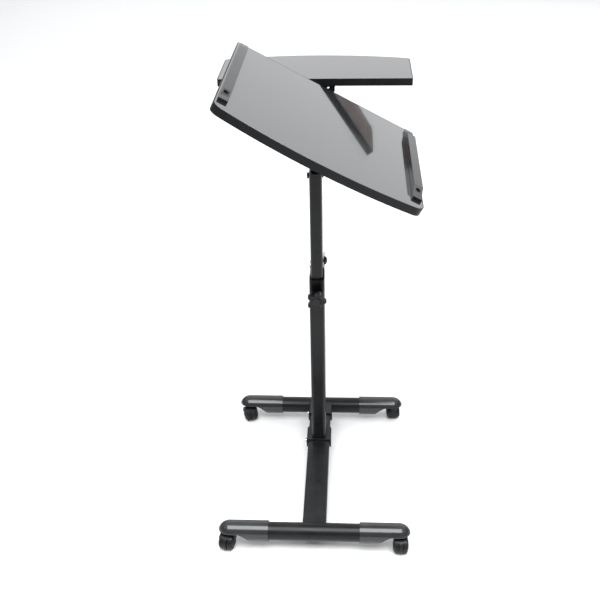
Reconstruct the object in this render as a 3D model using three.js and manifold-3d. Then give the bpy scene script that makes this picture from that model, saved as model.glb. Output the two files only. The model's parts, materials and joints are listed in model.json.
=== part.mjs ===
// A rolling drafting table: a black steel base on four casters, a telescoping mast,
// and a top that is split in two. The larger board tilts on a beam under it and
// carries an edge stop along its front and rear edges. The smaller board stays level.
//
// Millimetres, +Z up. X runs along the leg tubes, from the back (-X) to the user (+X).
// Y runs along the crossbar, from the tilting board (-Y) to the level board (+Y).
// While the parts are placed, x = y = 0 is the middle of the near leg tube. At the end
// the whole table is moved so that its origin is the middle of its bounding box's base.

import * as THREE from 'three';
import { mergeVertices } from 'three/addons/utils/BufferGeometryUtils.js';
import Module from 'manifold-3d';

const wasm = await Module();
wasm.setup();

// ---------------------------------------------------------------- driving dimensions

const GAP = 0.3; // left between pieces that touch

// Base
const LEG_SPAN = 403; // each leg, tip to tip of its end caps
const LEG_SPACING = 440; // between the two leg tubes' centre lines
const LEG_HEIGHT = 39; // leg tube's centre line above the floor
const LEG_RADIUS = 19;
const LEG_WALL = 1.5;
const CAP_RADIUS = 22;
const CAP_LENGTH = 106;
const CAP_NOSE = 24; // length of the rounded tip
const CAP_SLEEVE = 43; // how far the cap reaches over the tube
const NOSE_RISE = 6; // underside of the nose, above the tube's centre line
const UNDERCUT_START = 40; // from the tip, where the underside starts to curve down
const UNDERCUT_LENGTH = 30;
const CROSSBAR_WIDTH = 49.6;
const CROSSBAR_HEIGHT = 25;
const CROSSBAR_WALL = 1.5;

// Casters
const CASTER_INSET = 22; // from the leg's tip to the swivel axis
const CASTER_TRAIL = 9; // swivel axis to axle
const WHEEL_RADIUS = 17;
const HOOD_RADIUS = 19;
const CASTER_HALF_WIDTH = 16.8;
const STEM_RADIUS = 5;
const CASTER_ANGLES = { near_rear: -15, near_front: 0, far_rear: 25, far_front: 188 };

// Mast
const MAST_Y = 316; // centre line of the mast
const LOWER_WIDTH = 32;
const LOWER_DEPTH = 58;
const LOWER_WALL = 1.2;
const LOWER_CORNER = 7;
const LOWER_TOP = 449;
const BUSH_TOP = 477;
const UPPER_WIDTH = 25.4;
const UPPER_DEPTH = 48;
const UPPER_WALL = 1.5;
const UPPER_CORNER = 8.5;
const UPPER_BOTTOM = 247;
const UPPER_TOP = 711;
const FOOT_NEAR_Y = 286.5; // the foot bracket's saddle, along the crossbar
const FOOT_FAR_Y = 331;
const SOCKET_Y = 384.3; // near end of the trim in front of the far leg's bracket
const FOOT_WALL = 3;
const KNOB_Z = 441; // height-lock knob
const TONGUE_TOP = 524; // the strip that rises from the lower tube's front wall
const TONGUE_HALF = 12;
const GUIDE_BOLT_Z = 510;

// Top
const PIVOT_Z = 812;
const BEAM_RADIUS = 12.5;
const BEAM_WALL = 2;
const BEAM_NEAR_Y = 196;
const BEAM_FAR_Y = 563;
const TILT = 28.46; // degrees, front edge down
const BOARD_DEPTH = 400; // front to back
const BOARD_THICKNESS = 15;
const BULGE = 27; // how far the curved outer edges stand out in the middle
const BAND = 1; // thickness of the edge band
const NEAR_BOARD = { splitY: 411, width: 380, corner: 22, side: -1, top: 45, shift: 0 };
const FAR_BOARD = { splitY: 434, width: 145, corner: 10, side: 1, top: 53, shift: -5 };
const BRACKET_HUB = 12; // hub length along the beam
const NEAR_BRACKETS = { near_bracket_a: 216, near_bracket_b: 388 };
const FAR_BRACKETS = { far_bracket_a: 446, far_bracket_b: 545 };
const STOP_INSET = 13.5; // from the board's edge to the stop's middle
const STOP_WIDTH = 18;
const STOP_HEIGHT = 12;
const STOP_END = 5; // height of the stop's end face
const STOP_RAMP = 24;
const STOP_LEDGE = 16;
const STOP_NEAR_Y = 60;
const STOP_FAR_Y = 397;

// ---------------------------------------------------------------- materials

const FINISHES = {
  black_steel: { color: 0x1c1d1f, roughness: 0.42, metalness: 0.35 },
  black_fastener: { color: 0x17181a, roughness: 0.3, metalness: 0.6 },
  bright_steel: { color: 0xb9bcc0, roughness: 0.3, metalness: 1 },
  black_plastic: { color: 0x141517, roughness: 0.5, metalness: 0 },
  cap_plastic: { color: 0x2a2b2d, roughness: 0.35, metalness: 0 },
  wheel_plastic: { color: 0x1f2021, roughness: 0.55, metalness: 0 },
  gloss_board: { color: 0x0b0c0d, roughness: 0.06, metalness: 0 },
  edge_band: { color: 0x1a1b1d, roughness: 0.45, metalness: 0 },
  stop_plastic: { color: 0x18191b, roughness: 0.25, metalness: 0 },
};

const table = new THREE.Group();

function addPiece(parent, name, shape, finish) {
  const geometry = shape instanceof wasm.Manifold ? geometryOf(shape) : shape;
  const mesh = new THREE.Mesh(geometry, new THREE.MeshStandardMaterial(FINISHES[finish]));
  mesh.name = name;
  parent.add(mesh);
  return mesh;
}

// ---------------------------------------------------------------- solids

function solidOf(geometry) {
  const bare = geometry.clone();
  bare.deleteAttribute('normal');
  bare.deleteAttribute('uv');
  const merged = mergeVertices(bare, 1e-4);
  return new wasm.Manifold(new wasm.Mesh({
    numProp: 3,
    vertProperties: new Float32Array(merged.attributes.position.array),
    triVerts: new Uint32Array(merged.index.array),
  }));
}

function geometryOf(solid) {
  const mesh = solid.getMesh();
  const geometry = new THREE.BufferGeometry();
  geometry.setAttribute('position', new THREE.BufferAttribute(mesh.vertProperties, 3));
  geometry.setIndex(new THREE.BufferAttribute(mesh.triVerts, 1));
  geometry.computeVertexNormals();
  return geometry;
}

function join(first, ...others) {
  return others.reduce((sum, other) => sum.add(solidOf(other)), solidOf(first));
}

function cut(base, ...cutters) {
  const start = base instanceof wasm.Manifold ? base : solidOf(base);
  return cutters.reduce((rest, cutter) => rest.subtract(solidOf(cutter)), start);
}

// A box from its lowest to its highest corner.
function block(low, high) {
  const size = high.map((value, i) => value - low[i]);
  const middle = high.map((value, i) => (value + low[i]) / 2);
  return new THREE.BoxGeometry(...size).translate(...middle);
}

// A cylinder along the X, Y or Z axis, from one station to another.
function rod(axis, radius, from, to, centre, segments = 24) {
  const geometry = new THREE.CylinderGeometry(radius, radius, to - from, segments);
  const middle = (from + to) / 2;
  if (axis === 'x') return geometry.rotateZ(-Math.PI / 2).translate(middle, centre[0], centre[1]);
  if (axis === 'z') return geometry.rotateX(Math.PI / 2).translate(centre[0], centre[1], middle);
  return geometry.translate(centre[0], middle, centre[1]);
}

function shapeOf(points, holes = []) {
  const shape = new THREE.Shape(points);
  shape.holes = holes.map((hole) => new THREE.Path(hole));
  return shape;
}

function arc(cx, cy, radius, fromDegrees, toDegrees, steps) {
  const points = [];
  for (let i = 0; i <= steps; i += 1) {
    const angle = THREE.MathUtils.degToRad(fromDegrees + ((toDegrees - fromDegrees) * i) / steps);
    points.push(new THREE.Vector2(cx + radius * Math.cos(angle), cy + radius * Math.sin(angle)));
  }
  return points;
}

function roundedRect(width, height, radius, steps = 5) {
  const x = width / 2 - radius;
  const y = height / 2 - radius;
  return [
    ...arc(x, y, radius, 0, 90, steps),
    ...arc(-x, y, radius, 90, 180, steps),
    ...arc(-x, -y, radius, 180, 270, steps),
    ...arc(x, -y, radius, 270, 360, steps),
  ];
}

function circle(radius, steps = 28) {
  return arc(0, 0, radius, 0, 360, steps).slice(0, -1);
}

function prism(shape, depth) {
  return new THREE.ExtrudeGeometry(shape, { depth, bevelEnabled: false });
}

// Upright prism: the shape lies in X and Y.
function prismZ(shape, from, to) {
  return prism(shape, to - from).translate(0, 0, from);
}

// Prism along Y: the shape's own x and y become X and Z.
function prismY(shape, from, to) {
  return prism(shape, to - from).rotateX(Math.PI / 2).translate(0, to, 0);
}

// Prism along X: the shape's own x and y become Y and Z.
const ONTO_X = new THREE.Matrix4().makeBasis(
  new THREE.Vector3(0, 1, 0),
  new THREE.Vector3(0, 0, 1),
  new THREE.Vector3(1, 0, 0),
);

function prismX(shape, from, to) {
  return prism(shape, to - from).applyMatrix4(ONTO_X).translate(from, 0, 0);
}

// A profile of [radius, station] pairs turned about the X axis.
function turnedX(profile, segments) {
  const points = profile.map(([radius, station]) => new THREE.Vector2(radius, station));
  return new THREE.LatheGeometry(points, segments).rotateZ(-Math.PI / 2);
}

// ---------------------------------------------------------------- base

function legTube() {
  const half = LEG_SPAN / 2 - CAP_LENGTH + CAP_SLEEVE;
  const ring = shapeOf(circle(LEG_RADIUS, 32), [circle(LEG_RADIUS - LEG_WALL, 32)]);
  return prismX(ring, -half, half);
}

// The end cap: a plastic sleeve with a bullet nose, hollowed under the nose for its caster.
// It points along +X, with its tip at half the leg's span.
function legCap() {
  const tip = LEG_SPAN / 2;
  const mouth = tip - CAP_LENGTH;
  const profile = [[0, mouth], [CAP_RADIUS, mouth]];
  const steps = 7;
  for (let i = 0; i <= steps; i += 1) {
    const angle = (i / steps) * (Math.PI / 2);
    profile.push([CAP_RADIUS * Math.cos(angle), tip - CAP_NOSE + CAP_NOSE * Math.sin(angle)]);
  }
  profile[profile.length - 1][0] = 0;
  const body = turnedX(profile, 32);

  const deep = CAP_RADIUS + 10;
  const curve = [];
  for (let i = 0; i <= 8; i += 1) {
    const fall = (i / 8) ** 2;
    const x = tip - UNDERCUT_START - (i / 8) * UNDERCUT_LENGTH;
    curve.push(new THREE.Vector2(x, NOSE_RISE - fall * (CAP_RADIUS + 1 + NOSE_RISE)));
  }
  const undercut = shapeOf([
    new THREE.Vector2(tip + 5, -deep),
    new THREE.Vector2(tip + 5, NOSE_RISE),
    ...curve,
    new THREE.Vector2(tip - UNDERCUT_START - UNDERCUT_LENGTH, -deep),
  ].reverse());
  const bore = rod('x', LEG_RADIUS + GAP, mouth - 1, mouth + CAP_SLEEVE + GAP, [0, 0], 32);
  const socket = rod('z', STEM_RADIUS + 0.4, -10, 16, [tip - CASTER_INSET, 0]);
  return cut(body, prismY(undercut, -deep, deep), bore, socket);
}

function crossbar() {
  const outline = roundedRect(CROSSBAR_WIDTH, CROSSBAR_HEIGHT, 3, 3);
  const inner = 2 * CROSSBAR_WALL;
  const hollow = roundedRect(CROSSBAR_WIDTH - inner, CROSSBAR_HEIGHT - inner, 1.5, 3);
  const tube = prismY(shapeOf(outline, [hollow]), 8, LEG_SPACING - 8);
  const half = CROSSBAR_WIDTH;
  return cut(
    tube,
    rod('x', LEG_RADIUS + GAP, -half, half, [0, 0], 32),
    rod('x', LEG_RADIUS + GAP, -half, half, [LEG_SPACING, 0], 32),
    ...footBoltHoles(),
  );
}

const FOOT_BOLT_STATIONS = { foot_bolt_near: 304, foot_bolt_far: 409 };
const FOOT_BOLT_DROP = -3; // below the crossbar's centre line
const FOOT_BOLT_RADIUS = 3;

function footBoltHoles() {
  return Object.values(FOOT_BOLT_STATIONS).map((y) => (
    rod('x', FOOT_BOLT_RADIUS + GAP, -CROSSBAR_WIDTH, 0, [y, FOOT_BOLT_DROP], 12)
  ));
}

// An inverted U that straddles the crossbar.
function saddleShape(wall, clearance, reach) {
  const inX = CROSSBAR_WIDTH / 2 + clearance;
  const inTop = CROSSBAR_HEIGHT / 2 + clearance;
  const outX = inX + wall;
  const outTop = inTop + wall;
  const point = (x, z) => new THREE.Vector2(x, z);
  return shapeOf([
    point(-outX, -reach), point(-inX, -reach), point(-inX, inTop), point(inX, inTop),
    point(inX, -reach), point(outX, -reach), point(outX, outTop - 2), point(outX - 2, outTop),
    point(-outX + 2, outTop), point(-outX, outTop - 2),
  ]);
}

// A screw with a round head, through a bracket's rear wall and the crossbar's.
function footBolt(y) {
  const face = -(CROSSBAR_WIDTH / 2 + GAP + FOOT_WALL + GAP);
  return join(
    rod('x', FOOT_BOLT_RADIUS, face - 2, face + 14, [y, FOOT_BOLT_DROP], 12),
    rod('x', 5.4, face - 3.6, face, [y, FOOT_BOLT_DROP], 18),
  );
}

function buildBase() {
  const base = new THREE.Group();
  base.position.z = LEG_HEIGHT;
  table.add(base);

  addPiece(base, 'near_leg_tube', legTube(), 'black_steel');
  addPiece(base, 'far_leg_tube', legTube(), 'black_steel').position.y = LEG_SPACING;
  addPiece(base, 'crossbar_tube', crossbar(), 'black_steel');

  // The foot's saddle is shorter than the mast is deep, so a plate runs on under the mast.
  const barTop = CROSSBAR_HEIGHT / 2 + GAP;
  const foot = join(
    prismY(saddleShape(FOOT_WALL, GAP, 5), FOOT_NEAR_Y, FOOT_FAR_Y),
    block([-23, FOOT_FAR_Y - 2, barTop], [23, MAST_Y + LOWER_DEPTH / 2 + 2, barTop + FOOT_WALL]),
  );
  addPiece(base, 'mast_foot_bracket', cut(foot, ...footBoltHoles()), 'black_steel');
  const trims = { foot_trim_near: FOOT_NEAR_Y - GAP - 2.4, foot_trim_far: SOCKET_Y };
  for (const [name, y] of Object.entries(trims)) {
    addPiece(base, name, prismY(saddleShape(FOOT_WALL + 0.4, GAP, 6), y, y + 2.4), 'black_plastic');
  }
  const farBracket = prismY(saddleShape(FOOT_WALL, GAP, 6), SOCKET_Y + 2.4 + GAP, LEG_SPACING - 6);
  const legClearance = rod('x', LEG_RADIUS + GAP, -40, 40, [LEG_SPACING, 0], 32);
  addPiece(base, 'far_leg_bracket', cut(farBracket, legClearance, ...footBoltHoles()), 'black_steel');

  for (const [name, y] of Object.entries(FOOT_BOLT_STATIONS)) {
    addPiece(base, name, footBolt(y), 'bright_steel');
  }
}

// ---------------------------------------------------------------- end caps and casters

// The caster's housing: stem, boss, a hood over both wheels, and the web between them.
// The swivel axis is the Z axis, and the axle lies behind it at -CASTER_TRAIL in Y.
function casterHousing() {
  const stemTop = LEG_HEIGHT + 14;
  const noseZ = LEG_HEIGHT + NOSE_RISE;
  const axle = [-CASTER_TRAIL, WHEEL_RADIUS];
  const hoodProfile = [
    [0, -16.8], [15.6, -16.8], [HOOD_RADIUS - 1, -14], [HOOD_RADIUS, -10],
    [HOOD_RADIUS, 10], [HOOD_RADIUS - 1, 14], [15.6, 16.8], [0, 16.8],
  ];
  const drum = turnedX(hoodProfile, 36).translate(0, ...axle);
  const solid = join(
    drum,
    rod('z', 9.5, WHEEL_RADIUS, noseZ - 0.6, [0, 0]),
    rod('z', STEM_RADIUS, WHEEL_RADIUS, stemTop, [0, 0]),
  );
  // The hood reaches low at the front and ends just past the top at the back.
  const far = 60;
  const opening = shapeOf([new THREE.Vector2(0, 0), ...arc(0, 0, far, 128, 352, 8)]);
  const web = 3.6;
  const wheelRoom = rod('x', WHEEL_RADIUS + 0.8, web, 30, axle, 36);
  const openSide = prismX(opening, web, 30).translate(0, ...axle);
  return cut(
    solid,
    wheelRoom,
    openSide,
    wheelRoom.clone().rotateZ(Math.PI).translate(0, -2 * CASTER_TRAIL, 0),
    prismX(opening, -30, -web).translate(0, ...axle),
    block([-4, -40, -2], [4, 20, 7]),
    rod('x', 2.9, -5, 5, axle, 16),
  );
}

// Two domed wheels and the axle that joins them.
function casterWheels() {
  const rim = WHEEL_RADIUS;
  const half = CASTER_HALF_WIDTH;
  const profile = [
    [0, -half], [8, -half + 0.4], [14, -half + 2.4], [rim, -half + 5], [rim, -4.4], [2.5, -4.4],
    [2.5, 4.4], [rim, 4.4], [rim, half - 5], [14, half - 2.4], [8, half - 0.4], [0, half],
  ];
  return turnedX(profile, 28);
}

function buildCorners() {
  const cap = legCap();
  const housing = casterHousing();
  const wheels = casterWheels();
  for (const [corner, angle] of Object.entries(CASTER_ANGLES)) {
    const [bar, end] = corner.split('_');
    const side = end === 'front' ? 1 : -1;
    const y = bar === 'far' ? LEG_SPACING : 0;

    const capMesh = addPiece(table, `leg_cap_${corner}`, cap, 'cap_plastic');
    capMesh.position.set(0, y, LEG_HEIGHT);
    capMesh.rotation.z = side > 0 ? 0 : Math.PI;

    const caster = new THREE.Group();
    caster.position.set(side * (LEG_SPAN / 2 - CASTER_INSET), y, 0);
    caster.rotation.z = THREE.MathUtils.degToRad(angle);
    table.add(caster);
    addPiece(caster, `caster_housing_${corner}`, housing, 'black_plastic');
    const pair = addPiece(caster, `caster_wheels_${corner}`, wheels, 'wheel_plastic');
    pair.position.set(0, -CASTER_TRAIL, WHEEL_RADIUS);
  }
}

// ---------------------------------------------------------------- mast

function hollowColumn(width, depth, wall, radius, from, to) {
  const hole = roundedRect(width - 2 * wall, depth - 2 * wall, radius - wall);
  return prismZ(shapeOf(roundedRect(width, depth, radius), [hole]), from, to).translate(0, MAST_Y, 0);
}

// A star knob with five lobes, facing -Y, with its hub and screw behind it along +Y.
function starKnob(frontY, neckY, tipY) {
  const steps = 50;
  const outline = [];
  for (let i = 0; i < steps; i += 1) {
    const angle = (i / steps) * 2 * Math.PI;
    const radius = 17 + 4.4 * Math.cos(5 * angle);
    outline.push(new THREE.Vector2(radius * Math.cos(angle), radius * Math.sin(angle)));
  }
  return join(
    prismY(shapeOf(outline), frontY + 1.5, frontY + 12),
    rod('y', 9, frontY, frontY + 4, [0, 0]),
    rod('y', 8, frontY + 10, neckY, [0, 0]),
    rod('y', 4, frontY + 6, tipY, [0, 0], 16),
  );
}

function mastBush() {
  const depthClear = (LOWER_DEPTH - 2 * LOWER_WALL) / 2;
  const bore = roundedRect(UPPER_WIDTH + 1, UPPER_DEPTH + 1, UPPER_CORNER + 0.5);
  const collar = (width, depth, radius, from, to) => (
    prismZ(shapeOf(roundedRect(width, depth, radius), [bore]), from, to).translate(0, MAST_Y, 0)
  );
  const low = LOWER_TOP + GAP;
  const tongue = block(
    [-6, MAST_Y + UPPER_DEPTH / 2 + 0.7, LOWER_TOP - 26],
    [6, MAST_Y + depthClear - GAP, LOWER_TOP + 4],
  );
  const whole = join(
    collar(LOWER_WIDTH, LOWER_DEPTH, LOWER_CORNER, low, BUSH_TOP - 3.9),
    collar(LOWER_WIDTH, LOWER_DEPTH + 1.4, LOWER_CORNER, BUSH_TOP - 4, BUSH_TOP),
    tongue,
  );
  const notchHalf = TONGUE_HALF + GAP;
  return cut(whole, block(
    [TONGUE_BACK - GAP, MAST_Y - notchHalf, LOWER_TOP],
    [LOWER_WIDTH, MAST_Y + notchHalf, BUSH_TOP + 1],
  ));
}

// A leaf spring: a foot on the bush and a shallow bow that stands clear of the upper tube.
function bushSpring() {
  const bowX = 0.8;
  const bowZ = BUSH_TOP + 22.6;
  const leaf = shapeOf([
    new THREE.Vector2(-14.1, BUSH_TOP + GAP),
    new THREE.Vector2(-13.1, BUSH_TOP + GAP),
    ...arc(bowX, bowZ, 16, 210, 150, 8),
    ...arc(bowX, bowZ, 17, 150, 210, 8),
  ].reverse());
  return prismY(leaf, MAST_Y - 5, MAST_Y + 5);
}

const TONGUE_BACK = LOWER_WIDTH / 2 - 1.8;

function buildLowerMast() {
  const nearFace = MAST_Y - LOWER_DEPTH / 2;
  const bottom = LEG_HEIGHT + CROSSBAR_HEIGHT / 2 + GAP + FOOT_WALL + GAP;
  const sideFace = LOWER_WIDTH / 2;
  const tongue = block(
    [TONGUE_BACK, MAST_Y - TONGUE_HALF, LOWER_TOP - 12],
    [sideFace, MAST_Y + TONGUE_HALF, TONGUE_TOP],
  );
  addPiece(table, 'lower_mast_tube', cut(
    join(hollowColumn(LOWER_WIDTH, LOWER_DEPTH, LOWER_WALL, LOWER_CORNER, bottom, LOWER_TOP), tongue),
    rod('y', 4.5, nearFace - 4, nearFace + 6, [0, KNOB_Z]),
    rod('x', 4.3, TONGUE_BACK - 2, sideFace + 2, [MAST_Y, GUIDE_BOLT_Z], 16),
  ), 'black_steel');
  addPiece(table, 'mast_bush', mastBush(), 'black_plastic');
  addPiece(table, 'bush_spring_clip', bushSpring(), 'bright_steel');
  addPiece(table, 'guide_bolt', guideBolt(sideFace + GAP), 'black_fastener');

  const boss = shapeOf(circle(7.4, 24), [circle(4.5, 24)]);
  addPiece(table, 'clamp_boss', prismY(boss, nearFace - GAP - 8, nearFace - GAP)
    .translate(0, 0, KNOB_Z), 'black_steel');
}

// A carriage bolt: a low domed head on the tongue, and a shank that guides the upper tube.
function guideBolt(seat) {
  const shankTip = UPPER_WIDTH / 2 + 0.6;
  const profile = [[0, shankTip], [4, shankTip], [4, seat], [9, seat], [9, seat + 0.8]];
  const steps = 5;
  for (let i = 1; i <= steps; i += 1) {
    const angle = (i / steps) * (Math.PI / 2);
    profile.push([9 * Math.cos(angle), seat + 0.8 + 5 * Math.sin(angle)]);
  }
  profile[profile.length - 1][0] = 0;
  return turnedX(profile, 24).translate(0, MAST_Y, GUIDE_BOLT_Z);
}

function buildHeightKnob() {
  const boardSide = MAST_Y - LOWER_DEPTH / 2;
  const bossFront = boardSide - GAP - 8;
  const tip = MAST_Y - UPPER_DEPTH / 2 - 0.6;
  const knob = starKnob(bossFront - 22, bossFront - 0.4, tip);
  addPiece(table, 'height_knob', knob, 'black_plastic').position.z = KNOB_Z;
}

function buildUpperMast() {
  const boltZ = UPPER_TOP - 8;
  const boltHole = rod('x', 3.3, -20, 20, [0, boltZ], 12);
  const tube = hollowColumn(UPPER_WIDTH, UPPER_DEPTH, UPPER_WALL, UPPER_CORNER, UPPER_BOTTOM, UPPER_TOP);
  addPiece(table, 'upper_mast_tube', cut(tube, boltHole.clone().translate(0, MAST_Y, 0)), 'black_steel');
  const plugWidth = UPPER_WIDTH - 2 * UPPER_WALL - 2 * GAP;
  const plugDepth = UPPER_DEPTH - 2 * UPPER_WALL - 2 * GAP;
  const plug = prismZ(shapeOf(roundedRect(plugWidth, plugDepth, 7)), UPPER_BOTTOM - 3, UPPER_BOTTOM + 18);
  const flangeShape = shapeOf(roundedRect(UPPER_WIDTH + 3.2, UPPER_DEPTH + 5, 6));
  const flange = prismZ(flangeShape, UPPER_BOTTOM - 7, UPPER_BOTTOM - GAP);
  addPiece(table, 'upper_tube_glide', join(plug, flange), 'black_plastic').position.y = MAST_Y;

  // The tilt head: a spigot in the tube, a cap on its end, and a neck up to the beam's hub.
  const spigot = prismZ(shapeOf(roundedRect(plugWidth, plugDepth, 7)), UPPER_TOP - 26, UPPER_TOP + 2);
  const capShape = shapeOf(roundedRect(UPPER_WIDTH, UPPER_DEPTH, UPPER_CORNER));
  const collar = prismZ(capShape, UPPER_TOP + GAP, UPPER_TOP + 4);
  const neck = block([-9, -14, UPPER_TOP + 2], [9, 14, PIVOT_Z]);
  const hub = rod('y', BEAM_RADIUS + 6, -28, 28, [0, PIVOT_Z], 28);
  const bore = rod('y', BEAM_RADIUS + GAP, -30, 30, [0, PIVOT_Z], 28);
  addPiece(table, 'tilt_head', cut(join(spigot, collar, neck, hub), bore, boltHole), 'black_steel')
    .position.y = MAST_Y;

  const boltFace = UPPER_WIDTH / 2 + GAP;
  addPiece(table, 'head_bolt', join(
    rod('x', 3, -boltFace - 2, boltFace + 2, [0, 0], 12),
    rod('x', 6.2, -boltFace - 4.6, -boltFace, [0, 0], 18),
    rod('x', 4.6, boltFace, boltFace + 3, [0, 0], 6),
  ), 'black_fastener').position.set(0, MAST_Y, boltZ);
}

// ---------------------------------------------------------------- top

// A board's outline, in x and in the distance from the split: straight at the split and the
// sides, and a shallow arc on the outer edge. Insetting it keeps every curve's centre.
function boardOutline(board, inset) {
  const half = BOARD_DEPTH / 2;
  const arcRadius = (half * half + BULGE * BULGE) / (2 * BULGE);
  const arcCentre = board.width + BULGE - arcRadius;
  const cornerX = half - board.corner;
  const cornerY = arcCentre + Math.sqrt((arcRadius - board.corner) ** 2 - cornerX ** 2);
  const lean = THREE.MathUtils.radToDeg(Math.atan2(cornerY - arcCentre, cornerX));
  const small = 3;
  return [
    ...arc(-half + small, small, small - inset, 180, 270, 3),
    ...arc(half - small, small, small - inset, 270, 360, 3),
    ...arc(cornerX, cornerY, board.corner - inset, 0, lean, 6),
    ...arc(0, arcCentre, arcRadius - inset, lean, 180 - lean, 24).slice(1, -1),
    ...arc(-cornerX, cornerY, board.corner - inset, 180 - lean, 180, 6),
  ];
}

function boardPieces(board) {
  const outer = boardOutline(board, 0);
  const ringInner = boardOutline(board, BAND);
  const core = boardOutline(board, BAND + GAP);
  const bottom = board.top - BOARD_THICKNESS;
  const place = (geometry) => {
    // The outline grows away from the split: towards -Y on the near board.
    if (board.side < 0) geometry.rotateX(Math.PI).translate(0, 0, board.top + bottom);
    return geometry.translate(board.shift, board.splitY, 0);
  };
  return {
    core: place(prismZ(shapeOf(core), bottom, board.top)),
    band: place(prismZ(shapeOf(outer, [ringInner]), bottom, board.top)),
  };
}

// A steel bracket: a flange under the board and a web with two holes, which runs straight
// down from the flange and then tapers to a hub on the beam.
function boardBracket(flangeTop, halfFlange, y, boreClearance, screwHoles) {
  const flange = block([-halfFlange, y - 8, flangeTop - 3], [halfFlange, y + 20, flangeTop]);
  const hubRadius = BEAM_RADIUS + 5.5;
  const shoulder = Math.max(flangeTop - 16, 6);
  const right = [
    new THREE.Vector2(hubRadius - 2, -6),
    new THREE.Vector2(hubRadius + 1, 4),
    new THREE.Vector2(halfFlange - 1, shoulder),
    new THREE.Vector2(halfFlange - 1, flangeTop - 1),
  ];
  const left = right.map((point) => new THREE.Vector2(-point.x, point.y)).reverse();
  const web = prismY(shapeOf([...right, ...left]), y + 4, y + 8);
  return cut(
    join(flange, web, rod('y', hubRadius, y, y + BRACKET_HUB, [0, 0], 28)),
    rod('y', BEAM_RADIUS + boreClearance, y - 2, y + BRACKET_HUB + 2, [0, 0], 28),
    ...screwHoles.map((x) => rod('z', 2.4, flangeTop - 6, flangeTop + 3, [x, y + 14], 12)),
    ...[-22, 22].map((x) => rod('y', 3.2, y, y + BRACKET_HUB, [x, flangeTop - 8], 16)),
  );
}

// A pan-head screw that points up into a board's underside.
function bracketScrew(flangeTop, x, y) {
  const seat = flangeTop - 3 - GAP;
  return join(
    rod('z', 2, seat - 1, flangeTop + 0.15, [x, y + 14], 12),
    rod('z', 4.2, seat - 2.4, seat, [x, y + 14], 16),
  );
}

function addBrackets(parent, board, stations, halfFlange, boreClearance) {
  const flangeTop = board.top - BOARD_THICKNESS - GAP;
  const screws = [-halfFlange + 9, halfFlange - 9];
  for (const [name, y] of Object.entries(stations)) {
    addPiece(parent, name, boardBracket(flangeTop, halfFlange, y, boreClearance, screws), 'black_steel');
    screws.forEach((x, i) => {
      addPiece(parent, `${name}_screw_${i + 1}`, bracketScrew(flangeTop, x, y), 'black_fastener');
    });
  }
}

function edgeStop() {
  const ramp = STOP_LEDGE + STOP_RAMP;
  const point = (y, z) => new THREE.Vector2(y, z);
  const side = shapeOf([
    point(STOP_NEAR_Y, 0), point(STOP_FAR_Y, 0), point(STOP_FAR_Y, STOP_END),
    point(STOP_FAR_Y - STOP_LEDGE, STOP_END), point(STOP_FAR_Y - ramp, STOP_HEIGHT),
    point(STOP_NEAR_Y + ramp, STOP_HEIGHT), point(STOP_NEAR_Y + STOP_LEDGE, STOP_END),
    point(STOP_NEAR_Y, STOP_END),
  ]);
  const body = prismX(side, -STOP_WIDTH / 2, STOP_WIDTH / 2);
  const holes = STOP_SCREWS.flatMap((y) => [
    rod('z', 4.3, 3.2, 20, [0, y], 20),
    rod('z', 2.2, -2, 5, [0, y], 12),
  ]);
  return cut(body, ...holes);
}

const STOP_SCREWS = [
  STOP_NEAR_Y + STOP_LEDGE + STOP_RAMP / 2,
  STOP_FAR_Y - STOP_LEDGE - STOP_RAMP / 2,
];

function stopScrew(y) {
  return join(
    rod('z', 1.9, 0.1, 4.5, [0, y], 12),
    rod('z', 3.9, 3.2 + GAP, 5.6, [0, y], 18),
  );
}

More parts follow.
